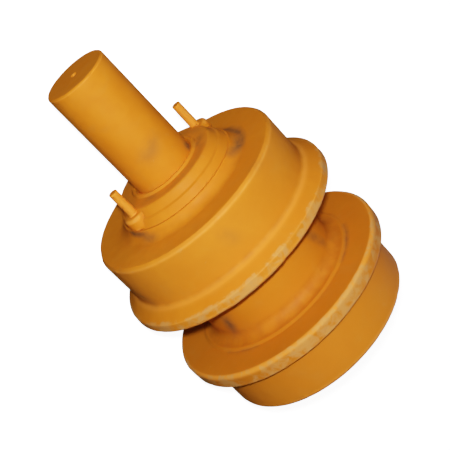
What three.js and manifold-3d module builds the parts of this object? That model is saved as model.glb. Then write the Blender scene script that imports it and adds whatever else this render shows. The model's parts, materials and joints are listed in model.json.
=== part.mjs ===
// Carrier (upper track) roller of a crawler tractor, in millimetres, +Z up.
// The shaft lies along Y: the bare stub points to -Y and the roller sits at +Y.
// Profiles are pairs [y, radius]; y = 0 is the roller's inboard face, and the
// last lines move the whole object so that the origin is its box centre.

import * as THREE from 'three';
import { mergeVertices } from 'three/addons/utils/BufferGeometryUtils.js';
import Module from 'manifold-3d';

const wasm = await Module();
wasm.setup();

// ---- driving dimensions ---------------------------------------------------

const GAP = 0.3;                    // left between pieces that touch

const ROLLER_WIDTH = 224;           // over both faces
const TREAD_RADIUS = 110;
const RIM_ROUNDING = 6;
const FLANGE_RADIUS = 126.8;
const FLANGE_BEVEL = 2;             // the land falls this much towards the flank
const FLANGE_ROUNDING = 4;
// Each flange, measured from its own end of the roller: the foot and the top of its
// flank, and its flat side that faces the waist.
const INBOARD_FLANGE = { foot: 55, top: 65, side: 77 };
const OUTBOARD_FLANGE = { foot: 53, top: 58, side: 74.7 };
const WAIST_RADIUS = 78;
const WAIST_FILLET = 14;

const HUB_HEIGHT = 9.5;             // the hub stands this far out of the inboard face
const HUB_RADIUS = 68.6;
const HUB_FILLET = 12;

const STUB_LENGTH = 157.5;          // inboard face to the stub's end
const SHAFT_RADIUS = 34.4;
const SHAFT_CHAMFER = 2.5;
const SHOULDER = { from: 6, to: 16, radius: 42 };
const INBOARD_SEAT = 33;
const OUTBOARD_SEAT = 28;
const SEAT_STEP = 152;              // where the seat drops to the outboard size
const SHAFT_END = 181.2;

const COLLAR_TOP = -27;
const COLLAR_BOTTOM = -10.5;
const COLLAR_RADIUS = 58;
const COLLAR_SKIRT_RADIUS = 65;
const LUG = { centre: 59, radius: 11.5, base: 50 };
const PIN = { radius: 4.8, from: -55.5, to: -21, chamfer: 1 };
const COLLAR_RING = { radius: SHAFT_RADIUS + 2, size: 1.2, y: -8 };

const CUP_BORE = { inboard: 62, outboard: 52 };
const OIL_BORE = 50;
const INBOARD_SHOULDER = 50;          // the inboard cup's seat ends here
const OUTBOARD_SHOULDER = 154;        // and the outboard one's starts here
const OUTBOARD_CUP_DEPTH = 31;
const FLANK_FILLET = 5;

const COVER = { radius: 76, spigot: 60, seat: 208, outer: 217, inner: 198 };
const COVER_BOLTS = { count: 6, circle: 68, radius: 5, headRadius: 9.2, headHeight: 6.2 };
const PLUG = { radius: 8, headRadius: 11, headHeight: 4, socket: 5 };
const WASHER = { inner: 8.6, outer: 12, height: 1.5 };
const PLATE = { radius: 38, from: 181.8 + GAP, to: 190 };
const PLATE_BOLTS = { count: 3, circle: 15, radius: 5, headRadius: 8, headHeight: 6 };

const ROUND_LARGE = 48;             // facets round the roller and the shaft
const ROUND_MEDIUM = 40;
const ROUND_SMALL = 36;
const BEARING_ROLLERS = 14;
const ROLLER_SIDES = 10;
const PIN_SIDES = 16;
const BOLT_SIDES = 12;
const PLUG_SIDES = 24;

// ---- materials ------------------------------------------------------------

const paint = () => new THREE.MeshStandardMaterial({ color: 0xe0922a, roughness: 0.55, metalness: 0.05 });
const steel = () => new THREE.MeshStandardMaterial({ color: 0x9a9ca0, roughness: 0.35, metalness: 0.9 });
const brass = () => new THREE.MeshStandardMaterial({ color: 0xb08b4a, roughness: 0.4, metalness: 0.8 });
const rubber = () => new THREE.MeshStandardMaterial({ color: 0x1c1c1c, roughness: 0.85, metalness: 0 });
const copper = () => new THREE.MeshStandardMaterial({ color: 0xb4653a, roughness: 0.4, metalness: 0.9 });

// ---- solids ---------------------------------------------------------------

// One closed skin with shared corners, no flat slivers and its faces pointing out.
function closedSkin(geometry) {
  geometry.deleteAttribute('normal');
  geometry.deleteAttribute('uv');
  const merged = mergeVertices(geometry, 1e-4);
  const position = merged.attributes.position;
  const index = merged.index.array;
  const corner = [new THREE.Vector3(), new THREE.Vector3(), new THREE.Vector3()];
  const kept = [];
  let volume = 0;
  for (let i = 0; i < index.length; i += 3) {
    const [a, b, c] = index.slice(i, i + 3);
    if (a === b || b === c || c === a) {
      continue;
    }
    kept.push(a, b, c);
    corner[0].fromBufferAttribute(position, a);
    corner[1].fromBufferAttribute(position, b);
    corner[2].fromBufferAttribute(position, c);
    volume += corner[0].dot(corner[1].cross(corner[2]));
  }
  merged.setIndex(volume < 0 ? kept.reverse() : kept);
  return merged;
}

function toSolid(geometry) {
  const skin = closedSkin(geometry);
  return new wasm.Manifold(new wasm.Mesh({
    numProp: 3,
    vertProperties: new Float32Array(skin.attributes.position.array),
    triVerts: new Uint32Array(skin.index.array),
  }));
}

function toGeometry(solid) {
  const mesh = solid.getMesh();
  const geometry = new THREE.BufferGeometry();
  geometry.setAttribute('position', new THREE.BufferAttribute(new Float32Array(mesh.vertProperties), 3));
  geometry.setIndex(new THREE.BufferAttribute(new Uint32Array(mesh.triVerts), 1));
  return geometry;
}

function cut(body, tools) {
  return tools.reduce((solid, tool) => solid.subtract(toSolid(tool)), body);
}

// ---- shapes ---------------------------------------------------------------

// Points on an arc about [y, radius], angles in degrees from the +y direction.
function arc(y, radius, size, from, to, steps) {
  const points = [];
  for (let i = 0; i <= steps; i += 1) {
    const angle = THREE.MathUtils.degToRad(from + (to - from) * i / steps);
    points.push([y + size * Math.cos(angle), radius + size * Math.sin(angle)]);
  }
  return points;
}

// A profile that starts and ends on the axis, turned about Y.
function turned(profile, segments) {
  return new THREE.LatheGeometry(profile.map(([y, radius]) => new THREE.Vector2(radius, y)), segments);
}

// A profile that goes round a ring's section, closed and turned about Y.
function ring(section, segments) {
  return turned([...section, section[0]], segments);
}

function plainRing(from, to, inner, outer, segments) {
  return ring([[from, inner], [to, inner], [to, outer], [from, outer]], segments);
}

function roundRing(y, radius, size, steps, segments) {
  return ring(arc(y, radius, size, 0, 360, steps).slice(0, -1), segments);
}

function disc(from, to, radius, segments) {
  return turned([[from, 0], [from, radius], [to, radius], [to, 0]], segments);
}

function chamferedPin(from, to, radius, chamfer, segments) {
  return turned([
    [from, 0], [from, radius - chamfer], [from + chamfer, radius],
    [to - chamfer, radius], [to, radius - chamfer], [to, 0],
  ], segments);
}

// Copies turned about Y: the first stands on the X axis.
function around(count, circle, make) {
  return Array.from({ length: count }, (_, i) => {
    const angle = 2 * Math.PI * i / count;
    return make(i).translate(circle, 0, 0).rotateY(angle);
  });
}

// A screw along Y: shank up to the head's seat, then a head with a hexagon.
function hexBolt(tip, seat, size) {
  const shank = toSolid(chamferedPin(tip, seat + 1, size.radius - GAP, 1, BOLT_SIDES));
  const head = new THREE.CylinderGeometry(size.headRadius, size.headRadius, size.headHeight, 6);
  head.translate(0, seat + size.headHeight / 2, 0);
  return toGeometry(shank.add(toSolid(head)));
}

// ---- roller shell ---------------------------------------------------------

// From the rim's flat face to the middle of the waist.
function halfTreadProfile({ foot, top, side }) {
  const flank = Math.atan2(FLANGE_RADIUS - FLANGE_BEVEL - TREAD_RADIUS, top - foot);
  const footSetback = FLANK_FILLET * Math.tan(flank / 2);
  const flankDegrees = THREE.MathUtils.radToDeg(flank);
  const rimCentre = TREAD_RADIUS - RIM_ROUNDING;
  const footCentre = TREAD_RADIUS + FLANK_FILLET;
  return [
    ...arc(RIM_ROUNDING, rimCentre, RIM_ROUNDING, 180, 90, 2),
    ...arc(foot - footSetback, footCentre, FLANK_FILLET, -90, flankDegrees - 90, 2),
    [top, FLANGE_RADIUS - FLANGE_BEVEL],
    ...arc(side - FLANGE_ROUNDING, FLANGE_RADIUS - FLANGE_ROUNDING, FLANGE_ROUNDING, 90, 0, 2),
    ...arc(side + WAIST_FILLET, WAIST_RADIUS + WAIST_FILLET, WAIST_FILLET, 180, 270, 3),
  ];
}

function rollerShell() {
  const inboard = halfTreadProfile(INBOARD_FLANGE);
  const mirrored = halfTreadProfile(OUTBOARD_FLANGE).map(([y, radius]) => [ROLLER_WIDTH - y, radius]);
  const outboard = mirrored.reverse();
  const cupMouth = OUTBOARD_SHOULDER + OUTBOARD_CUP_DEPTH;
  const section = [
    [-HUB_HEIGHT, CUP_BORE.inboard + GAP],
    [-HUB_HEIGHT, HUB_RADIUS - 1],
    ...arc(-HUB_FILLET, HUB_RADIUS + HUB_FILLET, HUB_FILLET, -75, 0, 3),
    ...inboard,
    ...outboard,
    [ROLLER_WIDTH, COVER.radius + 2],
    [ROLLER_WIDTH - 1.5, COVER.radius + 0.5],
    [COVER.seat, COVER.radius + 0.5],
    [COVER.seat, COVER.spigot + GAP],
    [cupMouth, COVER.spigot + GAP],
    [cupMouth, CUP_BORE.outboard + GAP],
    [OUTBOARD_SHOULDER, CUP_BORE.outboard + GAP],
    [OUTBOARD_SHOULDER, OIL_BORE - 4],
    [OUTBOARD_SHOULDER - 8, OIL_BORE],
    [INBOARD_SHOULDER, OIL_BORE],
    [INBOARD_SHOULDER, CUP_BORE.inboard + GAP],
  ];
  const holes = around(COVER_BOLTS.count, COVER_BOLTS.circle,
    () => disc(COVER.seat - 18, COVER.seat + 1, COVER_BOLTS.radius, BOLT_SIDES));
  return toGeometry(cut(toSolid(ring(section, ROUND_LARGE)), holes));
}

// ---- shaft and collar -----------------------------------------------------

function shaft() {
  const profile = [
    [6 - STUB_LENGTH, 0],
    [-STUB_LENGTH, 3.2],
    [-STUB_LENGTH, SHAFT_RADIUS - SHAFT_CHAMFER],
    [SHAFT_CHAMFER - STUB_LENGTH, SHAFT_RADIUS],
    [SHOULDER.from, SHAFT_RADIUS],
    [SHOULDER.from, SHOULDER.radius],
    [SHOULDER.to, SHOULDER.radius],
    [SHOULDER.to, INBOARD_SEAT],
    [SEAT_STEP, INBOARD_SEAT],
    [SEAT_STEP, OUTBOARD_SEAT],
    [SHAFT_END - 1.5, OUTBOARD_SEAT],
    [SHAFT_END, OUTBOARD_SEAT - 1.5],
    [SHAFT_END, 0],
  ];
  const holes = around(PLATE_BOLTS.count, PLATE_BOLTS.circle,
    () => disc(SHAFT_END - 24, SHAFT_END + 1, PLATE_BOLTS.radius, BOLT_SIDES));
  return toGeometry(cut(toSolid(turned(profile, ROUND_LARGE)), holes));
}

// An ear that stands out of the collar along +X, with a round end.
function collarLug() {
  const outline = new THREE.Shape();
  outline.moveTo(LUG.base, -LUG.radius - 2);
  outline.lineTo(LUG.base, LUG.radius + 2);
  outline.lineTo(LUG.centre, LUG.radius);
  outline.absarc(LUG.centre, 0, LUG.radius, Math.PI / 2, -Math.PI / 2, true);
  const depth = COLLAR_BOTTOM - COLLAR_TOP - 1;
  const lug = new THREE.ExtrudeGeometry(outline, { depth, bevelEnabled: false, curveSegments: 8 });
  return lug.rotateX(-Math.PI / 2).translate(0, COLLAR_TOP + 0.5, 0);
}

function sealCollar() {
  const bore = SHAFT_RADIUS + GAP;
  const section = [
    [COLLAR_TOP + 3, bore],
    [COLLAR_TOP - 0.5, bore + 2.2],
    [COLLAR_TOP - 1.8, bore + 3.6],
    [COLLAR_TOP - 1.8, bore + 6.4],
    [COLLAR_TOP, bore + 8],
    [COLLAR_TOP, COLLAR_RADIUS - 3],
    [COLLAR_TOP + 1, COLLAR_RADIUS - 0.8],
    [COLLAR_TOP + 3.5, COLLAR_RADIUS],
    [COLLAR_TOP + 8, COLLAR_RADIUS + 1.5],
    [COLLAR_TOP + 9, COLLAR_SKIRT_RADIUS - 1],
    [COLLAR_TOP + 10, COLLAR_SKIRT_RADIUS],
    [COLLAR_BOTTOM, COLLAR_SKIRT_RADIUS],
    [COLLAR_BOTTOM, 40],
    [SHOULDER.from - GAP, 40],
    [SHOULDER.from - GAP, bore],
    [COLLAR_RING.y + 2, bore],
    [COLLAR_RING.y + 2, bore + 3.2],
    [COLLAR_RING.y - 2, bore + 3.2],
    [COLLAR_RING.y - 2, bore],
  ];
  const cavity = ring([
    [-20, 41], [COLLAR_BOTTOM + 1, 41], [COLLAR_BOTTOM + 1, 57.5], [COLLAR_BOTTOM, 57.5], [-20, 55],
  ], ROUND_MEDIUM);
  const lugs = [0, Math.PI].map((angle) => collarLug().rotateY(angle));
  const pinHoles = around(2, LUG.centre,
    () => disc(COLLAR_TOP - 3, PIN.to + GAP, PIN.radius + GAP, PIN_SIDES));
  const body = lugs.reduce((solid, lug) => solid.add(toSolid(lug)), toSolid(ring(section, ROUND_MEDIUM)));
  return toGeometry(cut(body, [cavity, ...pinHoles]));
}

function collarPin() {
  return chamferedPin(PIN.from, PIN.to, PIN.radius, PIN.chamfer, PIN_SIDES);
}

function collarRing() {
  return roundRing(COLLAR_RING.y, COLLAR_RING.radius, COLLAR_RING.size, 5, ROUND_SMALL);
}

// ---- face seal ------------------------------------------------------------

// Half of a metal face seal: the lapped flange is at face, the tail points away.
function sealRing(face, away) {
  return ring([
    [face, 43], [face + 9 * away, 43], [face + 9 * away, 47.5], [face + 2.5 * away, 49], [face, 52.5],
  ], ROUND_SMALL);
}

function toric(y) {
  return roundRing(y, 51.4, 2.2, 6, ROUND_SMALL);
}

function sealRetainer() {
  const outer = CUP_BORE.inboard;
  return ring([
    [-HUB_HEIGHT + GAP, 57], [-HUB_HEIGHT + GAP, outer], [14.2, outer], [14.2, 44], [1.2, 44], [1.2, 55],
  ], ROUND_SMALL);
}

// ---- tapered roller bearings ----------------------------------------------

// y = largeEnd + way * distance; races shrink to a common apex on the axis.
const INBOARD_BEARING = {
  name: 'inboard', largeEnd: SHOULDER.to + GAP, way: 1, length: 29.5, rib: 4, rollerLength: 20,
  bore: INBOARD_SEAT + GAP, coneRace: 42.5, cupRace: 59, apex: 200, ribHeight: 5,
  cupRadius: CUP_BORE.inboard, cupFrom: 3, cupTo: 33.4,
};
const OUTBOARD_BEARING = {
  name: 'outboard', largeEnd: 181.8, way: -1, length: 29.4, rib: 4, rollerLength: 19,
  bore: OUTBOARD_SEAT + GAP, coneRace: 36, cupRace: 49.5, apex: 165, ribHeight: 4,
  cupRadius: CUP_BORE.outboard, cupFrom: 3, cupTo: 27.5,
};

function raceRadius(bearing, race, distance) {
  return race * (1 - (distance - bearing.rib) / bearing.apex);
}

function bearingRing(bearing, section, segments = ROUND_SMALL) {
  const { largeEnd, way } = bearing;
  return ring(section.map(([distance, radius]) => [largeEnd + way * distance, radius]), segments);
}

function bearingCone(bearing) {
  const { rib, length, bore, coneRace, ribHeight } = bearing;
  return bearingRing(bearing, [
    [0, bore], [0, coneRace + ribHeight], [rib, coneRace + ribHeight], [rib, coneRace],
    [length, raceRadius(bearing, coneRace, length)], [length, bore],
  ]);
}

function bearingCup(bearing) {
  const { cupFrom, cupTo, cupRadius, cupRace } = bearing;
  return bearingRing(bearing, [
    [cupFrom, cupRadius], [cupFrom, raceRadius(bearing, cupRace, cupFrom)],
    [cupTo, raceRadius(bearing, cupRace, cupTo)], [cupTo, cupRadius],
  ]);
}

// A tapered roller between the races, its axis in the XY plane, grown by extra.
function taperedRoller(bearing, extra) {
  const { rib, rollerLength, coneRace, cupRace, apex, way, largeEnd } = bearing;
  const middle = (coneRace + cupRace) / 2;
  const tilt = Math.atan(middle / apex);
  const clearance = 0.4;
  const largeRadius = (cupRace - coneRace) / 2 * Math.cos(tilt) - clearance + extra;
  const smallRadius = largeRadius * (1 - rollerLength / apex);
  const length = rollerLength + 2 * extra;
  const roller = new THREE.CylinderGeometry(smallRadius, largeRadius, length, ROLLER_SIDES);
  const fromRib = rib + 2.2 + rollerLength / 2;
  if (way < 0) {
    roller.rotateX(Math.PI);
  }
  roller.rotateZ(way * tilt);
  return roller.translate(raceRadius(bearing, middle, fromRib), largeEnd + way * fromRib, 0);
}

function bearingCage(bearing) {
  const { rib, rollerLength, coneRace, cupRace } = bearing;
  const middle = (coneRace + cupRace) / 2 + 1;
  const from = rib + 0.8;
  const to = rib + rollerLength + 5.2;
  const blank = bearingRing(bearing, [
    [from, raceRadius(bearing, middle, from) - 1.5], [from, raceRadius(bearing, middle, from) + 1.5],
    [to, raceRadius(bearing, middle, to) + 1.5], [to, raceRadius(bearing, middle, to) - 1.5],
  ], 2 * BEARING_ROLLERS);
  const pockets = Array.from({ length: BEARING_ROLLERS }, (_, i) => (
    taperedRoller(bearing, GAP).rotateY(2 * Math.PI * i / BEARING_ROLLERS)));
  return toGeometry(cut(toSolid(blank), pockets));
}

// ---- outboard end ---------------------------------------------------------

function retainerPlate() {
  const holes = around(PLATE_BOLTS.count, PLATE_BOLTS.circle,
    () => disc(PLATE.from - 1, PLATE.to + 1, PLATE_BOLTS.radius, BOLT_SIDES));
  return toGeometry(cut(toSolid(disc(PLATE.from, PLATE.to, PLATE.radius, ROUND_SMALL)), holes));
}

function endCover() {
  const spigot = COVER.spigot;
  const section = [
    [COVER.seat - 2, PLUG.radius + GAP],
    [COVER.seat - 2, spigot - 9],
    [COVER.inner, spigot - 7],
    [COVER.inner, spigot - 1],
    [COVER.inner + 1, spigot],
    [COVER.seat - 7, spigot],
    [COVER.seat - 7, spigot - 3],
    [COVER.seat - 3, spigot - 3],
    [COVER.seat - 3, spigot],
    [COVER.seat + GAP, spigot],
    [COVER.seat + GAP, COVER.radius],
    [COVER.outer - 1, COVER.radius],
    [COVER.outer, COVER.radius - 1],
    [COVER.outer, PLUG.radius + GAP],
  ];
  const holes = around(COVER_BOLTS.count, COVER_BOLTS.circle,
    () => disc(COVER.seat - 1, COVER.outer + 1, COVER_BOLTS.radius, BOLT_SIDES));
  return toGeometry(cut(toSolid(ring(section, ROUND_SMALL)), holes));
}

function oilPlug() {
  const seat = COVER.outer + GAP + WASHER.height + GAP;
  const body = turned([
    [COVER.seat, 0], [COVER.seat, PLUG.radius - 1], [COVER.seat + 1, PLUG.radius],
    [seat, PLUG.radius], [seat, PLUG.headRadius], [seat + PLUG.headHeight, PLUG.headRadius],
    [seat + PLUG.headHeight, 0],
  ], PLUG_SIDES);
  const socket = new THREE.CylinderGeometry(PLUG.socket, PLUG.socket, 2 * PLUG.headHeight, 6);
  socket.translate(0, seat + PLUG.headHeight, 0);
  return toGeometry(cut(toSolid(body), [socket]));
}

function oilPlugWasher() {
  const { inner, outer, height } = WASHER;
  return plainRing(COVER.outer + GAP, COVER.outer + GAP + height, inner, outer, PLUG_SIDES);
}

// ---- the assembly ---------------------------------------------------------

const group = new THREE.Group();
const frame = new THREE.Group();
frame.position.y = (STUB_LENGTH - ROLLER_WIDTH) / 2;
group.add(frame);

function add(name, geometry, material) {
  const mesh = new THREE.Mesh(closedSkin(geometry), material);
  mesh.name = name;
  frame.add(mesh);
}

function addAll(name, geometries, material) {
  geometries.forEach((geometry, i) => add(`${name}_${i + 1}`, geometry, material));
}

const sealFace = (COLLAR_BOTTOM - HUB_HEIGHT) / 2;

add('shaft', shaft(), paint());
add('seal_collar', sealCollar(), paint());
addAll('collar_pin', around(2, LUG.centre, collarPin), paint());
add('collar_o_ring', collarRing(), rubber());
add('fixed_seal_ring', sealRing(sealFace - 0.2, -1), steel());
add('fixed_seal_toric', toric(sealFace - 5.8), rubber());
add('rotating_seal_ring', sealRing(sealFace + 0.2, 1), steel());
add('rotating_seal_toric', toric(sealFace + 5.8), rubber());
add('seal_retainer', sealRetainer(), steel());
add('roller_shell', rollerShell(), paint());

for (const bearing of [INBOARD_BEARING, OUTBOARD_BEARING]) {
  const rollers = Array.from({ length: BEARING_ROLLERS }, (_, i) => (
    taperedRoller(bearing, 0).rotateY(2 * Math.PI * i / BEARING_ROLLERS)));
  add(`${bearing.name}_bearing_cone`, bearingCone(bearing), steel());
  add(`${bearing.name}_bearing_cup`, bearingCup(bearing), steel());
  add(`${bearing.name}_bearing_cage`, bearingCage(bearing), brass());
  addAll(`${bearing.name}_roller`, rollers, steel());
}

add('retainer_plate', retainerPlate(), steel());
addAll('retainer_bolt', around(PLATE_BOLTS.count, PLATE_BOLTS.circle,
  () => hexBolt(SHAFT_END - 22, PLATE.to + GAP, PLATE_BOLTS)), steel());
add('end_cover', endCover(), paint());
add('cover_o_ring', roundRing(COVER.seat - 5, COVER.spigot - 1.35, 1.2, 5, ROUND_LARGE), rubber());
addAll('cover_bolt', around(COVER_BOLTS.count, COVER_BOLTS.circle,
  () => hexBolt(COVER.seat - 16, COVER.outer + GAP, COVER_BOLTS)), paint());
add('oil_plug_washer', oilPlugWasher(), copper());
add('oil_plug', oilPlug(), steel());

export default group;
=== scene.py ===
import json
import math

import bmesh
import bpy
import numpy as np
from mathutils import Matrix, Vector, noise


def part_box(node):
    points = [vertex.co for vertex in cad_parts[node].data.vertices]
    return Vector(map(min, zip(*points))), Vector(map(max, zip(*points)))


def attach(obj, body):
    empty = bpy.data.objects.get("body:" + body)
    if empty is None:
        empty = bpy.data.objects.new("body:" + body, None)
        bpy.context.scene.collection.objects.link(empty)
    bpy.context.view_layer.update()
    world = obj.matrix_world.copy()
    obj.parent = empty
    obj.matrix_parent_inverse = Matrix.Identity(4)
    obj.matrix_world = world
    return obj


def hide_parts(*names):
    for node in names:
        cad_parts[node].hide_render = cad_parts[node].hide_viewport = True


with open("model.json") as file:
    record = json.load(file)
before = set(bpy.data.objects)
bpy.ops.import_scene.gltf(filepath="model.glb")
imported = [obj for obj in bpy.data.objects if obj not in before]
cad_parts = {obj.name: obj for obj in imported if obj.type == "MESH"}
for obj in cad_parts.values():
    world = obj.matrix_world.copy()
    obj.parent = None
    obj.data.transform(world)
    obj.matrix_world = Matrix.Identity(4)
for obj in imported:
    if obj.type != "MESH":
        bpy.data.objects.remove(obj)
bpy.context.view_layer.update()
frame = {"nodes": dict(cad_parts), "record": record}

# The looks of a crawler tractor's carrier roller. Sections are pairs (along, radius) in
# millimetres, with along = 0 at the roller's inboard face, as in the part's own source.

MM = 0.001
STUB_LENGTH = 157.5
FACE_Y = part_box("shaft")[0].y / MM + STUB_LENGTH
FLOOR_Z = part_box("roller_shell")[0].z

# The shell's outside. The rim is the chamfer at the tread's outer end, and the boss is the
# low raised ring round the waist on each flange's inner side.
ROLLER_WIDTH = 224
TREAD_RADIUS = 110
TREAD_BLEND = 5
RIM_DROP = 2.6
RIM_WIDTH = 3.4
FLANGE_RADIUS = 126.8
FLANGE_BEVEL = 0.7
FLANGE_ROUNDING = 4
# Each flange from its own end of the roller: foot and top of its flank, side at the waist.
INBOARD_FLANGE = (53, 65.5, 77)
OUTBOARD_FLANGE = (53, 58, 74.7)
WAIST_RADIUS = 78
WAIST_FILLET = 11
BOSS_RADIUS = 94
BOSS_SLOPE = 3.5
BOSS_HEIGHT = 1.6
HUB_HEIGHT = 9.5
HUB_RADIUS = 68.6
HUB_LIP = 0.9
HUB_FILLET = 12

# The shell's bores, from the inboard end: seal seat, oil space, bearing cup, cover.
SEAL_BORE = 62.3
OIL_BORE = 50
OIL_ENDS = (50, 146)
CUP_SHOULDER = 46
CUP_BORE = 52.3
CUP_ENDS = (154, 185)
COVER_BORE = 60.3
COVER_RECESS = 76.5
MOUTH_RADIUS = 84
SHARP = 0.5

# The shaft: depth and radius down its centre hole, and start, end and radius of the shoulder
# and of the two seats inside the roller.
SHAFT_RADIUS = 34.4
CENTRE_HOLE = ((7, 0), (5, 2.4), (0, 3.4))
SHOULDER = (6, 16, 42)
SEATS = ((16, 152, 33), (152, 181.2, 28))
END_CHAMFER = 1.6
SEAT_CHAMFER = 1.5

# The seal collar: its top faces the bracket, its skirt stands over the roller's hub. The seal
# space runs between two radii, and the ring groove has a start, an end and a depth.
COLLAR_TOP = -27
COLLAR_BOTTOM = -9.9
COLLAR_SKIRT = 65.5
COLLAR_BORE = SHAFT_RADIUS + 0.3
COLLAR_CORNER = 56.6
SEAL_SPACE = (41, 55)
SEAL_SPACE_TOP = -20
SKIRT_BORE = 57.5
SKIRT_LIP = 58.4
NECK_END = 5.7
RING_GROOVE = (-10, -6, 3.2)

# The collar's two ears, each with a pin.
LUG_CENTRE = 59
LUG_RADIUS = 12.3
LUG_ROUNDING = 3.4
LUG_BLEND = 3.0
LUG_TOP = COLLAR_TOP + 1.8
LUG_BOTTOM = COLLAR_BOTTOM - 0.6
PIN_RADIUS = 4.8
PIN_TIP = -55.5
PIN_END = -21

# The end cover: its hollow widens from the first radius to the second, its groove has a start,
# an end and a radius, and its outer face a shallow dish between two radii, with its depth.
COVER_RADIUS = 76
COVER_SEAT = 208
COVER_LAND = 208.3
COVER_OUTER = 217
COVER_FLOOR = 206
COVER_HOLLOW = (51, 53)
COVER_SPIGOT = 60
SPIGOT_END = 198
COVER_GROOVE = (201, 205, 57)
COVER_DISH = (19, 52, 1.2)
PLUG_HOLE = 8.3

# What is screwed into the cover.
BOLT_CIRCLE = 68
BOLT_COUNT = 6
PLUG_TIP = 208.2
PLUG_RADIUS = 7.9
PLUG_HEAD = 11
PLUG_SOCKET = 8.6
SOCKET_DEPTH = 3.8

# ---- sections -------------------------------------------------------------------------


def arc(along, radius, size, start, end, steps=8):
    """Points on an arc about (along, radius), in degrees from the +along direction."""
    angles = np.radians(np.linspace(start, end, steps + 1))
    return [(along + size * math.cos(a), radius + size * math.sin(a)) for a in angles]


def rounded(corners):
    """A path through (along, radius, rounding) corners, each turned with its own rounding."""
    points = []
    for i, (along, radius, size) in enumerate(corners):
        here = Vector((along, radius))
        if size == 0 or i in (0, len(corners) - 1):
            points.append(tuple(here))
            continue
        back = (Vector(corners[i - 1][:2]) - here).normalized()
        on = (Vector(corners[i + 1][:2]) - here).normalized()
        half = back.angle(on) / 2
        centre = here + (back + on).normalized() * size / math.sin(half)
        first = here + back * size / math.tan(half) - centre
        last = here + on * size / math.tan(half) - centre
        turn = math.atan2(first.x * last.y - first.y * last.x, first.dot(last))
        steps = max(3, math.ceil(abs(turn) / math.radians(12)))
        for k in range(steps + 1):
            spoke = Matrix.Rotation(turn * k / steps, 2) @ first
            points.append(tuple(centre + spoke))
    return points


def fine(points, longest, closed=False):
    """The same path with no stretch longer than longest."""
    ends = points[1:] + points[:1] if closed else points[1:]
    path = []
    for a, b in zip(points, ends):
        count = max(1, math.ceil(math.dist(a, b) / longest))
        for k in range(count):
            path.append((a[0] + (b[0] - a[0]) * k / count, a[1] + (b[1] - a[1]) * k / count))
    return path if closed else path + [points[-1]]


# ---- meshes ---------------------------------------------------------------------------


def loft(name, levels, closed):
    """A skin over levels of equally many points, in millimetres: each level is a ring."""
    rows, columns = levels.shape[:2]
    faces = []
    for i in range(rows if closed else rows - 1):
        here, after = i * columns, (i + 1) % rows * columns
        for j in range(columns):
            beside = (j + 1) % columns
            faces.append((here + j, here + beside, after + beside, after + j))
    mesh = bpy.data.meshes.new(name)
    mesh.from_pydata((levels.reshape(-1, 3) * MM).tolist(), [], faces)
    obj = bpy.data.objects.new(name, mesh)
    bpy.context.scene.collection.objects.link(obj)
    clean(obj)
    return obj


def clean(obj, sharp=math.radians(32)):
    """Welds the poles, turns the faces outward and shades smooth except over sharp edges."""
    bm = bmesh.new()
    bm.from_mesh(obj.data)
    bmesh.ops.remove_doubles(bm, verts=bm.verts, dist=0.002 * MM)
    bmesh.ops.recalc_face_normals(bm, faces=bm.faces)
    for face in bm.faces:
        face.smooth = True
    for edge in bm.edges:
        edge.smooth = not (edge.is_manifold and edge.calc_face_angle(0) > sharp)
    bm.to_mesh(obj.data)
    bm.free()


def circle(segments):
    """Evenly spaced angles round the shaft."""
    return np.linspace(0, 2 * math.pi, segments, endpoint=False)


def ring(along, radii, angles):
    """One level of a skin: a point at each angle round the shaft, at one radius or at its own."""
    flat = np.full_like(angles, along + FACE_Y)
    return np.stack([radii * np.cos(angles), flat, radii * np.sin(angles)], 1)


def lathe(name, section, segments, closed):
    """A section turned about the shaft."""
    angles = circle(segments)
    levels = [ring(along, radius, angles) for along, radius in section]
    return loft(name, np.array(levels), closed)


def coordinates(obj):
    """The mesh's points in millimetres."""
    flat = np.zeros(len(obj.data.vertices) * 3, np.float32)
    obj.data.vertices.foreach_get("co", flat)
    return flat.reshape(-1, 3).astype(float) / MM


def normals(obj):
    flat = np.zeros(len(obj.data.vertices) * 3, np.float32)
    obj.data.vertices.foreach_get("normal", flat)
    return flat.reshape(-1, 3).astype(float)


def store(obj, name, values):
    """Keeps a number from 0 to 1 at each point, for the paint to read."""
    layer = obj.data.attributes.new(name, "FLOAT", "POINT")
    layer.data.foreach_set("value", np.clip(values, 0, 1).astype(np.float32))


def smoothed(obj, values, passes):
    """Values averaged with their neighbours along the mesh's edges."""
    ends = np.zeros(len(obj.data.edges) * 2, int)
    obj.data.edges.foreach_get("vertices", ends)
    a, b = ends[0::2], ends[1::2]
    count = np.maximum(np.bincount(ends, minlength=len(values)), 1)
    if values.ndim == 2:
        count = count[:, None]
    for _ in range(passes):
        total = np.zeros_like(values)
        np.add.at(total, a, values[b])
        np.add.at(total, b, values[a])
        values = 0.5 * values + 0.5 * total / count
    return values


def mark_edges(obj, passes=10, bend=0.25):
    """Stores how far the skin stands out of (edge) or into (hollow) its own smoothed shape,
    as a share of bend in millimetres, and returns the first of the two."""
    points = coordinates(obj)
    proud = np.einsum("ij,ij->i", normals(obj), points - smoothed(obj, points, passes))
    proud = smoothed(obj, proud, 3)
    store(obj, "edge", proud / bend)
    store(obj, "hollow", -proud / bend)
    return np.clip(proud / bend, 0, 1)


def waves(points, size, seed):
    """Smooth noise from -1 to 1 at each point, with features of about this size in millimetres."""
    shift = Vector((seed * 7.3, seed * 3.1, seed * 5.7))
    return np.array([noise.noise(Vector(p) / size + shift) for p in points])


def push(obj, depth):
    """Moves each point along its normal by its own depth in millimetres."""
    points = coordinates(obj) + normals(obj) * depth[:, None]
    obj.data.vertices.foreach_set("co", (points * MM).astype(np.float32).ravel())
    obj.data.update()


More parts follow.
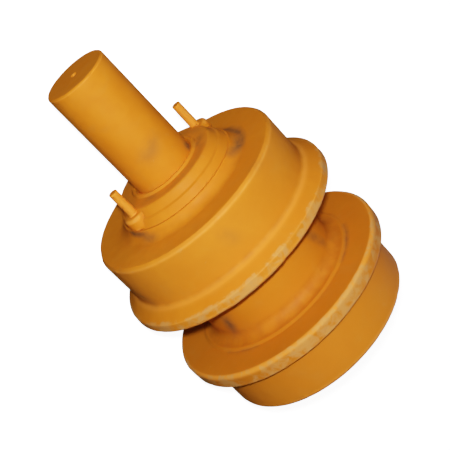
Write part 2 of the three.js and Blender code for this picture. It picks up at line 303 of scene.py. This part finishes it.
def weather(obj, swell, nicks):
    """A forging's slightly uneven skin, and small nicks along its outward edges."""
    edge = mark_edges(obj)
    points = coordinates(obj)
    small = np.clip(waves(points, 7, 3) - 0.28, 0, 1)
    large = np.clip(waves(points, 19, 4) - 0.25, 0, 1)
    depth = swell * waves(points, 34, 1) + 0.4 * swell * waves(points, 9, 2)
    push(obj, depth - nicks * edge * (small + large))


def smudge_and_shadow(obj, strokes):
    """Stores soft dark strokes, smudges and painted shadows alike: each stroke is a half width,
    a depth and a route of (along, radius, angle in degrees) points, and fades towards its ends."""
    points = coordinates(obj)
    dark = np.zeros(len(points))
    for size, depth, route in strokes:
        for along, radius, angle, fade in stroke_steps(route):
            turn = math.radians(angle)
            centre = np.array((radius * math.cos(turn), along + FACE_Y, radius * math.sin(turn)))
            reach = np.linalg.norm(points - centre, axis=1) / size
            dark = np.maximum(dark, fade * depth * np.clip(1.15 - reach, 0, 1) ** 1.2)
    store(obj, "smudge_and_shadow", dark * (1 + 0.4 * waves(points, 11, 5)))


def stroke_steps(route, steps=60):
    """Points along a route, each with its fade: 0.55 at the route's ends, 1 in its middle."""
    if len(route) == 1:
        return [(*route[0], 1)]
    stops = np.linspace(0, len(route) - 1, steps + 1)
    columns = [np.interp(stops, range(len(route)), column) for column in zip(*route)]
    return [(*place, 1 - 0.45 * (2 * k / steps - 1) ** 2) for k, place in enumerate(zip(*columns))]


# ---- materials ------------------------------------------------------------------------

PAINT = (0.72, 0.214, 0.0105, 1)
PAINT_LIGHT = (0.75, 0.238, 0.0145, 1)
PAINT_DEEP = (0.66, 0.180, 0.0075, 1)
# Painted highlight: a lighter yellow laid along outward edges and in a band at the foot of each flank.
PAINTED_HIGHLIGHT = (0.90, 0.30, 0.035, 1)
# Painted shade: a darker paint laid over the outboard end.
FAR_END_SHADE = (0.47, 0.118, 0.006, 1)
DUST = (0.58, 0.24, 0.045, 1)
RUBBED = (0.66, 0.31, 0.085, 1)
BARE = (0.47, 0.26, 0.11, 1)
# Painted shade: a darkened paint laid into hollows and concave corners.
HOLLOW_SHADE = (0.36, 0.075, 0.005, 1)
# Dark colour of the smear strokes, which include a painted shadow under the first ear.
SMUDGE_AND_SHADOW_COLOUR = (0.15, 0.072, 0.026, 1)
PAINT_SHEEN = 0.22


class Shader:
    """A short hand for building one material's nodes."""

    def __init__(self, name):
        self.material = bpy.data.materials.new(name)
        self.material.use_nodes = True
        self.tree = self.material.node_tree
        self.skin = self.tree.nodes["Principled BSDF"]
        self.place = self.add("ShaderNodeTexCoord").outputs["Object"]

    def add(self, kind, **settings):
        node = self.tree.nodes.new(kind)
        for key, value in settings.items():
            setattr(node, key, value)
        return node

    def join(self, value, socket):
        if isinstance(value, bpy.types.NodeSocket):
            self.tree.links.new(value, socket)
        else:
            socket.default_value = value

    def noise(self, size, detail=3.0, distortion=0.0, stretch=(1, 1, 1)):
        """Noise with features of about this size in millimetres."""
        mapping = self.add("ShaderNodeMapping")
        self.join(self.place, mapping.inputs["Vector"])
        mapping.inputs["Scale"].default_value = stretch
        texture = self.add("ShaderNodeTexNoise")
        self.join(mapping.outputs["Vector"], texture.inputs["Vector"])
        texture.inputs["Scale"].default_value = 1 / (size * MM)
        texture.inputs["Detail"].default_value = detail
        texture.inputs["Distortion"].default_value = distortion
        return texture.outputs["Fac"]

    def attribute(self, name):
        return self.add("ShaderNodeAttribute", attribute_name=name).outputs["Fac"]

    def math(self, operation, a, b):
        node = self.add("ShaderNodeMath", operation=operation)
        self.join(a, node.inputs[0])
        self.join(b, node.inputs[1])
        return node.outputs["Value"]

    def uneven(self, value, patches, amount):
        """Value raised and lowered by patches of noise."""
        return self.math("ADD", value, self.math("MULTIPLY", self.math("SUBTRACT", patches, 0.5), amount))

    def between(self, value, low, high, to_low=0.0, to_high=1.0):
        """Value mapped smoothly from low..high to to_low..to_high."""
        node = self.add("ShaderNodeMapRange", interpolation_type="SMOOTHSTEP")
        self.join(value, node.inputs["Value"])
        node.inputs["From Min"].default_value = low
        node.inputs["From Max"].default_value = high
        node.inputs["To Min"].default_value = to_low
        node.inputs["To Max"].default_value = to_high
        return node.outputs["Result"]

    def mix(self, factor, a, b):
        node = self.add("ShaderNodeMix", data_type="RGBA")
        self.join(factor, node.inputs["Factor"])
        self.join(a, node.inputs["A"])
        self.join(b, node.inputs["B"])
        return node.outputs["Result"]

    def bump(self, height, strength, distance, under=None):
        node = self.add("ShaderNodeBump")
        node.inputs["Strength"].default_value = strength
        node.inputs["Distance"].default_value = distance * MM
        self.join(height, node.inputs["Height"])
        if under is not None:
            self.join(under, node.inputs["Normal"])
        return node.outputs["Normal"]

    def finish(self, colour, roughness, normal, metallic=0.0):
        self.join(colour, self.skin.inputs["Base Color"])
        self.join(roughness, self.skin.inputs["Roughness"])
        self.join(normal, self.skin.inputs["Normal"])
        self.skin.inputs["Metallic"].default_value = metallic
        return self.material


def paint(name):
    """Sprayed machinery paint over a forging: mottled, dusty, rubbed on edges, with painted highlights
    along outward edges and at the foot of each flank, painted shade in corners and towards the outboard
    end, and dark strokes of smudge and painted shadow.
    """
    s = Shader(name)
    tone = s.between(s.noise(70, 3, 0.4), 0.38, 0.66)
    colour = s.mix(tone, PAINT_DEEP, PAINT_LIGHT)
    colour = s.mix(0.55, colour, PAINT)
    # Painted shade, darker towards the outboard end.
    colour = s.mix(s.attribute("far_end_shade"), colour, FAR_END_SHADE)
    mottle = s.between(s.noise(11, 5, 0.3), 0.35, 0.7, 0, 0.35)
    colour = s.mix(mottle, colour, PAINT_DEEP)
    dust = s.between(s.noise(26, 4, 0.8), 0.52, 0.74, 0, 0.14)
    colour = s.mix(dust, colour, DUST)

    patches = s.noise(9, 6, 0.5)
    # Painted highlight along outward edges, with the paint also rubbed lighter there.
    colour = s.mix(s.between(s.attribute("edge"), 0.45, 1.15, 0, 0.8), colour, PAINTED_HIGHLIGHT)
    # Painted highlight in a band at the foot of each flank.
    colour = s.mix(s.math("MULTIPLY", s.attribute("foot"), 0.75), colour, PAINTED_HIGHLIGHT)
    worn = s.between(s.uneven(s.attribute("edge"), patches, 1.6), 0.85, 1.35, 0, 0.3)
    colour = s.mix(worn, colour, RUBBED)

    rubbed = s.between(s.uneven(s.attribute("rub"), patches, 2.2), 0.35, 1.0, 0, 0.75)
    colour = s.mix(rubbed, colour, RUBBED)
    scar = s.math("MULTIPLY", rubbed, s.between(s.noise(11, 3, 0.4), 0.45, 0.8, 0, 0.55))
    colour = s.mix(scar, colour, BARE)

    # Painted shade: hollows and concave corners darkened, more in some patches than in others.
    hollow_shade_amount = s.between(s.noise(14, 3), 0.3, 0.65, 0.05, 0.35)
    colour = s.mix(s.math("MULTIPLY", s.attribute("hollow"), hollow_shade_amount), colour, HOLLOW_SHADE)
    # Dark strokes: smudges, and a painted shadow under the first ear.
    stroke_patches = s.between(s.noise(13, 3, 0.6), 0.3, 0.62, 0.5, 0.95)
    smudge_and_shadow_amount = s.math("MULTIPLY", s.attribute("smudge_and_shadow"), stroke_patches)
    colour = s.mix(smudge_and_shadow_amount, colour, SMUDGE_AND_SHADOW_COLOUR)

    roughness = s.between(s.noise(18, 4), 0.3, 0.7, 0.6, 0.72)
    roughness = s.math("ADD", roughness, s.math("MULTIPLY", s.math("MAXIMUM", rubbed, smudge_and_shadow_amount), 0.15))
    peel = s.bump(s.noise(1.6, 2), 0.25, 0.12)
    cast = s.bump(s.noise(13, 3), 0.5, 0.5, peel)
    chipped = s.bump(s.math("SUBTRACT", 1.0, scar), 0.5, 0.25, cast)
    s.skin.inputs["Specular IOR Level"].default_value = PAINT_SHEEN
    return s.finish(colour, roughness, chipped)


def metal(name, light, dark, rough, grain, lines=(1, 1, 1)):
    """Bare metal with fine tool lines and an uneven oil film."""
    s = Shader(name)
    film = s.between(s.noise(16, 4, 0.5), 0.35, 0.68)
    colour = s.mix(film, (*dark, 1), (*light, 1))
    roughness = s.between(s.noise(9, 3), 0.3, 0.7, rough - 0.08, rough + 0.12)
    turned_lines = s.bump(s.noise(grain, 2, 0.0, lines), 0.2, 0.06)
    return s.finish(colour, roughness, turned_lines, 1.0)


def rubber(name):
    """Black seal rubber with a dusty bloom."""
    s = Shader(name)
    bloom = s.between(s.noise(5, 4), 0.45, 0.7)
    colour = s.mix(bloom, (0.012, 0.012, 0.013, 1), (0.04, 0.038, 0.035, 1))
    roughness = s.between(s.noise(4, 3), 0.3, 0.7, 0.6, 0.85)
    return s.finish(colour, roughness, s.bump(s.noise(0.8, 2), 0.2, 0.05))


LOOKS = {
    "yellow_paint": paint("yellow_paint"),
    "bearing_steel": metal("bearing_steel", (0.56, 0.57, 0.58), (0.38, 0.38, 0.38), 0.28, 0.8, (1, 6, 1)),
    "cage_brass": metal("cage_brass", (0.66, 0.48, 0.22), (0.46, 0.31, 0.12), 0.36, 1.2),
    "seal_iron": metal("seal_iron", (0.34, 0.34, 0.35), (0.20, 0.20, 0.20), 0.4, 1.0),
    "seal_rubber": rubber("seal_rubber"),
    "copper_washer": metal("copper_washer", (0.68, 0.34, 0.20), (0.45, 0.20, 0.12), 0.34, 1.0),
}


def place(obj, body, slot, *nodes):
    """obj takes the slot's finish, rides on the body and stands for the CAD nodes."""
    obj.data.materials.clear()
    obj.data.materials.append(LOOKS[slot])
    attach(obj, body)
    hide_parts(*nodes)


# ---- roller shell ---------------------------------------------------------------------


def half_tread(foot, top, side):
    """From the rim's face to the middle of the waist."""
    middle = ROLLER_WIDTH / 2
    return rounded([
        (0, HUB_RADIUS + HUB_FILLET, 0),
        (0, TREAD_RADIUS - RIM_DROP, 1.0),
        (RIM_WIDTH, TREAD_RADIUS, TREAD_BLEND),
        (foot, TREAD_RADIUS, TREAD_BLEND),
        (top, FLANGE_RADIUS - FLANGE_BEVEL, 2.2),
        (side, FLANGE_RADIUS, FLANGE_ROUNDING),
        (side, BOSS_RADIUS, 1.6),
        (side + BOSS_HEIGHT, BOSS_RADIUS - BOSS_SLOPE, 2),
        (side + BOSS_HEIGHT, WAIST_RADIUS, WAIST_FILLET),
        (middle, WAIST_RADIUS, 0),
    ])


def roller_shell():
    """Two treads with their flanges, the waist between them, the hub and the bores."""
    inboard = half_tread(*INBOARD_FLANGE)
    far = half_tread(*OUTBOARD_FLANGE)
    outboard = [(ROLLER_WIDTH - along, radius) for along, radius in reversed(far)][1:-1]
    hub = [(-HUB_HEIGHT, HUB_RADIUS - HUB_LIP)]
    hub += arc(-HUB_HEIGHT + 0.4, HUB_RADIUS - 0.4, 0.4, 180, 96, 4)
    hub += arc(-HUB_FILLET, HUB_RADIUS + HUB_FILLET, HUB_FILLET, -75, 0, 12)[:-1]
    outside = fine(hub + inboard + outboard, longest=2.4)
    inside = rounded([
        (ROLLER_WIDTH, MOUTH_RADIUS, 0), (ROLLER_WIDTH, COVER_RECESS + 1, 1),
        (ROLLER_WIDTH - 1.5, COVER_RECESS, SHARP), (COVER_SEAT, COVER_RECESS, SHARP),
        (COVER_SEAT, COVER_BORE, SHARP), (CUP_ENDS[1], COVER_BORE, SHARP),
        (CUP_ENDS[1], CUP_BORE, SHARP), (CUP_ENDS[0], CUP_BORE, SHARP),
        (CUP_ENDS[0], CUP_SHOULDER, SHARP), (OIL_ENDS[1], OIL_BORE, 1),
        (OIL_ENDS[0], OIL_BORE, 1), (OIL_ENDS[0], SEAL_BORE, SHARP),
        (-HUB_HEIGHT, SEAL_BORE, 0.6), (-HUB_HEIGHT, HUB_RADIUS - HUB_LIP, 0),
    ])
    shell = lathe("roller_shell_skin", outside + inside[:-1], segments=288, closed=True)
    weather(shell, swell=0.14, nicks=0.9)
    mark_land(shell)
    smudge_and_shadow(shell, SHELL_SMUDGES_AND_SHADOWS)
    place(shell, "roller", "yellow_paint", "roller_shell")


# Dark strokes on the shell, for the soft dark smears; the two at the foot of the first ear are a painted
# shadow under it. Angles go from +X towards +Z.
SHELL_SMUDGES_AND_SHADOWS = [
    (7, 1.0, [(-6, 69, 178), (-2, 75, 166), (-1, 77, 154),
              (-1, 77.5, 142), (-2, 75, 126), (-6, 70, 114)]),
    # These two strokes are a painted shadow under the first ear.
    (4.2, 1.3, [(-8, 70.5, -15), (-7.5, 71.5, -3), (-7.5, 71.5, 9)]),
    (6, 0.8, [(-5, 72, 4), (-4, 74, 12), (-3, 76, 19)]),
    (10, 0.8, [(115, 79, 12), (126, 79, 9), (138, 80, 5)]),
    (8, 0.75, [(106, 79, 108), (118, 79, 112), (132, 79, 116)]),
    (15, 0.4, [(36, 110, -10), (47, 110, -6)]),
    (4, 0.6, [(149, 94.5, 104), (149, 94.5, 122), (149, 94.5, 140)]),
    (3, 0.4, [(149, 94.5, 0), (149, 94.5, 26)]),
    (10, 0.22, [(20, 110, 60), (30, 110, 63)]),
    (8, 0.3, [(1, 109, 94), (1, 109, 100)]),
]


def mark_land(shell):
    """Stores where the lands are rubbed, a painted highlight band at the foot of each flank, and
    how much painted shade darkens the paint towards the outboard end."""
    points = coordinates(shell)
    radius = np.hypot(points[:, 0], points[:, 2])
    along = points[:, 1] - FACE_Y
    land = np.clip((radius - (FLANGE_RADIUS - 4.5)) / 2, 0, 1)
    store(shell, "rub", land * (0.72 + 0.5 * waves(points, 30, 6)))

    # Painted highlight: a light band round the foot of each flank.
    band_radius, band_width, flank_end = TREAD_RADIUS + 2.6, 2.2, 62
    is_flank = np.abs(along - ROLLER_WIDTH / 2) > ROLLER_WIDTH / 2 - flank_end
    store(shell, "foot", is_flank * np.exp(-(((radius - band_radius) / band_width) ** 2)))

    # Painted shade: the paint darkens towards the outboard end, where less light falls.
    shade_start, shade_length, deepest_shade = 80, 60, 0.36
    store(shell, "far_end_shade", deepest_shade * np.clip((along - shade_start) / shade_length, 0, 1))


# ---- shaft, collar and pins -----------------------------------------------------------


def shaft():
    """The bare stub with its centre hole, the shoulder and the bearing seats."""
    foot, crown, shoulder = SHOULDER
    (_, seat_end, seat), (neck, end, neck_radius) = SEATS
    centre_hole = [(along - STUB_LENGTH, radius, size)
                   for (along, radius), size in zip(CENTRE_HOLE, (0, 0.4, 0.5))]
    section = fine(rounded(centre_hole + [
        (-STUB_LENGTH, SHAFT_RADIUS - END_CHAMFER, 1), (END_CHAMFER - STUB_LENGTH, SHAFT_RADIUS, 1.6),
        (foot, SHAFT_RADIUS, 0.4), (foot, shoulder, 0.8), (crown, shoulder, 0.8),
        (crown, seat, 0.6), (seat_end, seat, 0.5), (neck, neck_radius, 0.5),
        (end - SEAT_CHAMFER, neck_radius, 0.3), (end, neck_radius - SEAT_CHAMFER, 0.3), (end, 0, 0),
    ]), longest=2.0)
    obj = lathe("shaft_skin", section, segments=144, closed=False)
    weather(obj, swell=0.06, nicks=0.25)
    smudge_and_shadow(obj, [(7, 1.0, [(-34, 34, 124), (-30, 34, 134)]),
                 (13, 0.4, [(-66, 34, 84), (-62, 34, 68), (-60, 34, 54)])])
    place(obj, "shaft_assembly", "yellow_paint", "shaft")


def collar_radius(along, radius, angles):
    """The collar's outline at a level: a circle, with two ears where the level crosses them."""
    inner_face = 45  # walls nearer the shaft than this carry no ears
    fall = 160  # how steeply an ear ends at its side, in millimetres a radian
    depth = min(along - LUG_TOP, LUG_BOTTOM - along)
    if depth < -1e-6 or radius < inner_face:
        return np.full_like(angles, radius)
    side = LUG_ROUNDING**2 - max(0, LUG_ROUNDING - depth) ** 2
    size = LUG_RADIUS - (LUG_ROUNDING - math.sqrt(max(0, side)))
    swing = np.abs((angles + math.pi / 2) % math.pi - math.pi / 2)
    edge = math.asin(size / LUG_CENTRE)
    inside = np.minimum(swing, edge)
    half_chord = np.sqrt(np.maximum(size**2 - (LUG_CENTRE * np.sin(inside)) ** 2, 0))
    reach = LUG_CENTRE * np.cos(inside) + half_chord - fall * np.maximum(swing - edge, 0)
    overlap = np.maximum(LUG_BLEND - np.abs(radius - reach), 0) / LUG_BLEND
    return np.maximum(radius, reach) + overlap**2 * LUG_BLEND / 4


def collar_angles():
    """Angles round the collar, closer together across the ears."""
    even = circle(360)
    return even - 0.17 * np.sin(2 * even)


def seal_collar():
    """The collar that stays with the shaft: stepped top, skirt over the hub, two ears."""
    top, bottom, bore = COLLAR_TOP, COLLAR_BOTTOM, COLLAR_BORE
    groove_start, groove_end, groove_depth = RING_GROOVE
    skirt_end = bottom + 0.2
    wall = rounded([
        (groove_start, bore, 0), (top - 0.6, bore, 0.3), (top - 1.2, bore + 1.2, 0.6),
        (top - 2.4, bore + 2.2, 0.7), (top - 2.4, bore + 4.6, 0.9), (top, bore + 6.6, 1.2),
        (top, COLLAR_CORNER, 3), (top + 8.2, COLLAR_CORNER + 4.6, 1.4),
        (top + 9.4, COLLAR_SKIRT - 1.5, 1.4), (skirt_end, COLLAR_SKIRT + 2.1, 0.3),
        (skirt_end, SKIRT_LIP, 0),
    ])
    hair = 0.02
    cuts = [LUG_TOP - hair, LUG_TOP, LUG_BOTTOM, LUG_BOTTOM + hair]
    outside = with_levels(fine(wall, longest=0.9), cuts)
    inside = rounded([
        (bottom, SKIRT_LIP, 0), (bottom, SKIRT_BORE, 0.4), (SEAL_SPACE_TOP, SEAL_SPACE[1], 1),
        (SEAL_SPACE_TOP, SEAL_SPACE[0], 1), (bottom, SEAL_SPACE[0], 0.3),
        (NECK_END, SEAL_SPACE[0], 0.4), (NECK_END, bore, 0.3), (groove_end, bore, 0.2),
        (groove_end, bore + groove_depth, 0.2), (groove_start, bore + groove_depth, 0.2),
        (groove_start, bore, 0),
    ])
    angles = collar_angles()
    levels = [ring(along, collar_radius(along, radius, angles), angles)
              for along, radius in outside[:-1]]
    levels += [ring(along, radius, angles) for along, radius in inside[:-1]]
    obj = loft("seal_collar_skin", np.array(levels), True)
    weather(obj, swell=0.1, nicks=0.5)
    smudge_and_shadow(obj, [(7, 0.6, [(top, 44, 126), (top, 46, 144)]),
                 (7, 0.4, [(-25, 61, 142), (-22, 63, 158)]),
                 (8, 0.4, [(top, 44, 12), (top, 46, 28)]),
                 (9, 0.3, [(top, 49, angle) for angle in range(0, 361, 30)])])
    place(obj, "shaft_assembly", "yellow_paint", "seal_collar")


def with_levels(section, cuts):
    """The section with a point added wherever its outer wall crosses one of the levels."""
    outer_wall = 50
    path = [section[0]]
    for a, b in zip(section, section[1:]):
        is_wall = min(a[1], b[1]) > outer_wall
        for cut in [c for c in sorted(cuts) if is_wall and a[0] < c - 1e-6 < b[0] - 1e-6]:
            path.append((cut, a[1] + (b[1] - a[1]) * (cut - a[0]) / (b[0] - a[0])))
        path.append(b)
    return path


def about(obj, radius, turn):
    """Moves a piece made on the shaft's axis out along +X, then round the shaft."""
    obj.data.transform(Matrix.Rotation(turn, 4, "Y") @ Matrix.Translation((radius * MM, 0, 0)))
    obj.data.update()


def collar_pins():
    """Two pins along the shaft, each with a bead of paint where it enters its ear."""
    section = fine(rounded([
        (PIN_TIP, 0, 0), (PIN_TIP, PIN_RADIUS - 0.2, 0.7), (LUG_TOP - 1.6, PIN_RADIUS, 1.6),
        (LUG_TOP + 0.3, PIN_RADIUS + 0.8, 0.3), (LUG_TOP + 1.2, PIN_RADIUS, 0.3),
        (PIN_END, PIN_RADIUS, 0.6), (PIN_END, 0, 0),
    ]), longest=1.2)
    for i in range(2):
        obj = lathe(f"collar_pin_{i + 1}_skin", section, segments=32, closed=False)
        about(obj, LUG_CENTRE, math.pi * i)
        weather(obj, swell=0.04, nicks=0.2)
        place(obj, "shaft_assembly", "yellow_paint", f"collar_pin_{i + 1}")


# ---- outboard end ---------------------------------------------------------------------


def end_cover():
    """The outboard cover, its spigot grooved for an O-ring and its middle bored for the plug."""
    groove_start, groove_end, groove_radius = COVER_GROOVE
    dish_inner, dish_outer, dish_depth = COVER_DISH
    section = fine(rounded([
        (COVER_FLOOR, PLUG_HOLE, 0), (COVER_FLOOR, COVER_HOLLOW[0], 1),
        (SPIGOT_END, COVER_HOLLOW[1], 1), (SPIGOT_END, COVER_SPIGOT - 0.4, 0.8),
        (groove_start, COVER_SPIGOT, 0.2), (groove_start, groove_radius, 0.2),
        (groove_end, groove_radius, 0.2), (groove_end, COVER_SPIGOT, 0.2),
        (COVER_LAND, COVER_SPIGOT, 0.2), (COVER_LAND, COVER_RADIUS, 0.5),
        (COVER_OUTER, COVER_RADIUS, 1.8), (COVER_OUTER, dish_outer + 3, 2),
        (COVER_OUTER - dish_depth, dish_outer, 2), (COVER_OUTER - dish_depth, dish_inner, 2),
        (COVER_OUTER, dish_inner - 3, 2), (COVER_OUTER, PLUG_HOLE, 0.8),
    ]), longest=2.2, closed=True)
    obj = lathe("end_cover_skin", section, segments=144, closed=True)
    weather(obj, swell=0.08, nicks=0.3)
    smudge_and_shadow(obj, [(10, 0.8, [(COVER_OUTER, 19, 10), (COVER_OUTER, 20, 70)]),
                 (9, 0.7, [(COVER_OUTER, 66, -12), (COVER_OUTER, 68, 14)]),
                 (9, 0.7, [(COVER_OUTER, 68, 168), (COVER_OUTER, 67, 196)])])
    place(obj, "roller", "yellow_paint", "end_cover")


def hexagon(across, angles):
    """The outline of a hexagon of this size across its flats."""
    sixth = math.pi / 3
    return across / 2 / np.cos((angles % sixth) - sixth / 2)


def bolt(name, shank_radius, tip, seat, across, height):
    """A hexagon screw along +Y with a washer face under its head. The head's corners are cut
    back near its top, as on a turned bolt."""
    top, flat = seat + height, across / 2
    washer, head_start, steps = 0.5, 0.55, 12
    shank = rounded([(tip, 0, 0), (tip, shank_radius - 0.8, 0.2), (tip + 1, shank_radius, 0.2),
                     (seat, shank_radius, 0.2)])
    shank += [(seat, flat - 0.4), (seat + washer, flat - 0.4)]
    angles = circle(72)
    levels = [ring(along, radius, angles) for along, radius in shank]
    for k in range(steps + 1):
        along = seat + head_start + (height - head_start) * k / steps
        bevel = flat - 0.3 + (top - along) * math.sqrt(3)
        levels.append(ring(along, np.minimum(hexagon(across, angles), bevel), angles))
    levels += [ring(top, flat - 0.6, angles), ring(top, 0, angles)]
    return loft(name, np.array(levels), False)


def cover_bolts():
    """Six equal screws through the cover's rim."""
    for i in range(BOLT_COUNT):
        name = f"cover_bolt_{i + 1}"
        obj = bolt(name + "_skin", shank_radius=4.7, tip=COVER_SEAT - 16, seat=COVER_OUTER + 0.3,
                   across=15.9, height=6.2)
        about(obj, BOLT_CIRCLE, 2 * math.pi * i / BOLT_COUNT)
        mark_edges(obj, passes=4, bend=0.2)
        place(obj, "roller", "yellow_paint", name)


def oil_plug():
    """A flanged plug with a hexagon socket, screwed into the middle of the cover."""
    seat, top = COVER_OUTER + 2.1, COVER_OUTER + 6.1
    socket_floor = top - SOCKET_DEPTH
    outside = rounded([
        (PLUG_TIP, 0, 0), (PLUG_TIP, PLUG_RADIUS - 0.9, 0.3), (PLUG_TIP + 1, PLUG_RADIUS, 0.2),
        (seat, PLUG_RADIUS, 0.2), (seat, PLUG_HEAD, 0.4), (top, PLUG_HEAD, 1.1), (top, 6.6, 0),
    ])
    angles = circle(96)
    socket = hexagon(PLUG_SOCKET, angles)
    levels = [ring(along, radius, angles) for along, radius in fine(outside, longest=1.0)]
    levels += [ring(top, socket + 0.3, angles), ring(top - 0.3, socket, angles)]
    levels += [ring(socket_floor, socket, angles), ring(socket_floor, 0, angles)]
    obj = loft("oil_plug_skin", np.array(levels), False)
    mark_edges(obj, passes=4, bend=0.2)
    place(obj, "roller", "yellow_paint", "oil_plug")


# ---- carried-over pieces --------------------------------------------------------------


def dress_frame():
    """Gives every CAD node that is still shown its slot's finish."""
    slots = {row["node"]: row["material_slot"] for row in frame["record"]["subparts"]}
    for name, obj in frame["nodes"].items():
        obj.data.materials.clear()
        obj.data.materials.append(LOOKS[slots[name]])


# ---- studio ---------------------------------------------------------------------------

# The camera: degrees, metres, and millimetres of focal length on a 36 mm sensor.
VIEW = {"azimuth": 45.06, "elevation": 53.07, "roll": 84.53, "distance": 1.303}
AIM = Vector((0.0020, 0.0260, 0.0123))
LENS = 103.5


def direction(azimuth, elevation):
    """Unit vector from the roller: azimuth from -Y towards +X, elevation from level."""
    a, e = math.radians(azimuth), math.radians(elevation)
    return Vector((math.sin(a) * math.cos(e), -math.cos(a) * math.cos(e), math.sin(e)))


def camera():
    """Sets the camera up and returns how it is turned."""
    data = bpy.data.cameras.new("camera")
    data.sensor_width = 36
    data.lens = LENS
    obj = bpy.data.objects.new("camera", data)
    bpy.context.scene.collection.objects.link(obj)
    back = direction(VIEW["azimuth"], VIEW["elevation"])
    level = (-back).to_track_quat("-Z", "Y").to_matrix()
    turn = level @ Matrix.Rotation(math.radians(VIEW["roll"]), 3, "Z")
    obj.matrix_world = Matrix.Translation(AIM + back * VIEW["distance"]) @ turn.to_4x4()
    bpy.context.scene.camera = obj
    return turn


def softbox(name, towards, distance, size, power):
    """A square soft light that looks at the roller from the direction towards."""
    data = bpy.data.lights.new(name, "AREA")
    data.size = size
    data.energy = power
    obj = bpy.data.objects.new(name, data)
    bpy.context.scene.collection.objects.link(obj)
    turn = (-towards).to_track_quat("-Z", "Y").to_matrix()
    obj.matrix_world = Matrix.Translation(towards.normalized() * distance) @ turn.to_4x4()


def studio():
    """A small flash beside the lens, weak fills, and a light that shows the back."""
    turn = camera()
    up, back = turn.col[1], turn.col[2]
    softbox("key", back + 0.035 * up, distance=1.4, size=0.05, power=9.4)
    softbox("fill", back, distance=1.9, size=2.6, power=3.0)
    softbox("top", 0.3 * back + up, distance=1.9, size=1.0, power=1.6)
    softbox("rear", direction(208, -6), distance=2.6, size=2.0, power=13.0)
    world = bpy.data.worlds.new("world")
    world.use_nodes = True
    sky = world.node_tree.nodes["Background"]
    sky.inputs["Color"].default_value = (1, 0.96, 0.92, 1)
    sky.inputs["Strength"].default_value = 0.012
    bpy.context.scene.world = world
    film()


def film():
    """A camera's response: dark tones fall off faster than light ones, and white is kept."""
    slope, knee, steps = 1.2, 0.25, 15
    view = bpy.context.scene.view_settings
    view.view_transform = "Standard"
    view.use_curve_mapping = True
    combined = view.curve_mapping.curves[3]
    for step in range(1, steps):
        light = (step / steps) ** 2
        combined.points.new(light, (1 + knee) * light**slope / (light**slope + knee))
    view.curve_mapping.update()


def pale(name, glow):
    """A glowing near-white for the room."""
    s = Shader(name)
    cloud = s.between(s.noise(400, 2), 0.3, 0.7)
    colour = s.mix(cloud, (0.86, 0.86, 0.87, 1), (0.89, 0.89, 0.90, 1))
    s.skin.inputs["Emission Color"].default_value = (1, 1, 1, 1)
    s.skin.inputs["Emission Strength"].default_value = glow
    return s.finish(colour, 0.75, s.bump(s.noise(3, 2), 0.05, 0.1))


def stage(name, points, faces, material):
    """A piece of the studio: seen, but throwing no light or shadow on the roller."""
    mesh = bpy.data.meshes.new(name)
    mesh.from_pydata(points, [], faces)
    mesh.materials.append(material)
    obj = bpy.data.objects.new(name, mesh)
    bpy.context.scene.collection.objects.link(obj)
    obj.visible_diffuse = False
    obj.visible_glossy = False
    obj.visible_shadow = False


def room(half=6, height=5):
    """A pale floor with pale walls and a ceiling far off, all in metres."""
    square = [(-half, -half), (half, -half), (half, half), (-half, half)]
    low = [(x, y, FLOOR_Z) for x, y in square]
    high = [(x, y, height) for x, y in square]
    walls = [(i, (i + 1) % 4, 4 + (i + 1) % 4, 4 + i) for i in range(4)]
    stage("floor", low, [(0, 1, 2, 3)], pale("pale_floor", 0.8))
    stage("backdrop", low + high, walls + [(7, 6, 5, 4)], pale("pale_backdrop", 1.0))


def main():
    dress_frame()
    roller_shell()
    shaft()
    seal_collar()
    collar_pins()
    end_cover()
    cover_bolts()
    oil_plug()
    room()
    studio()


main()
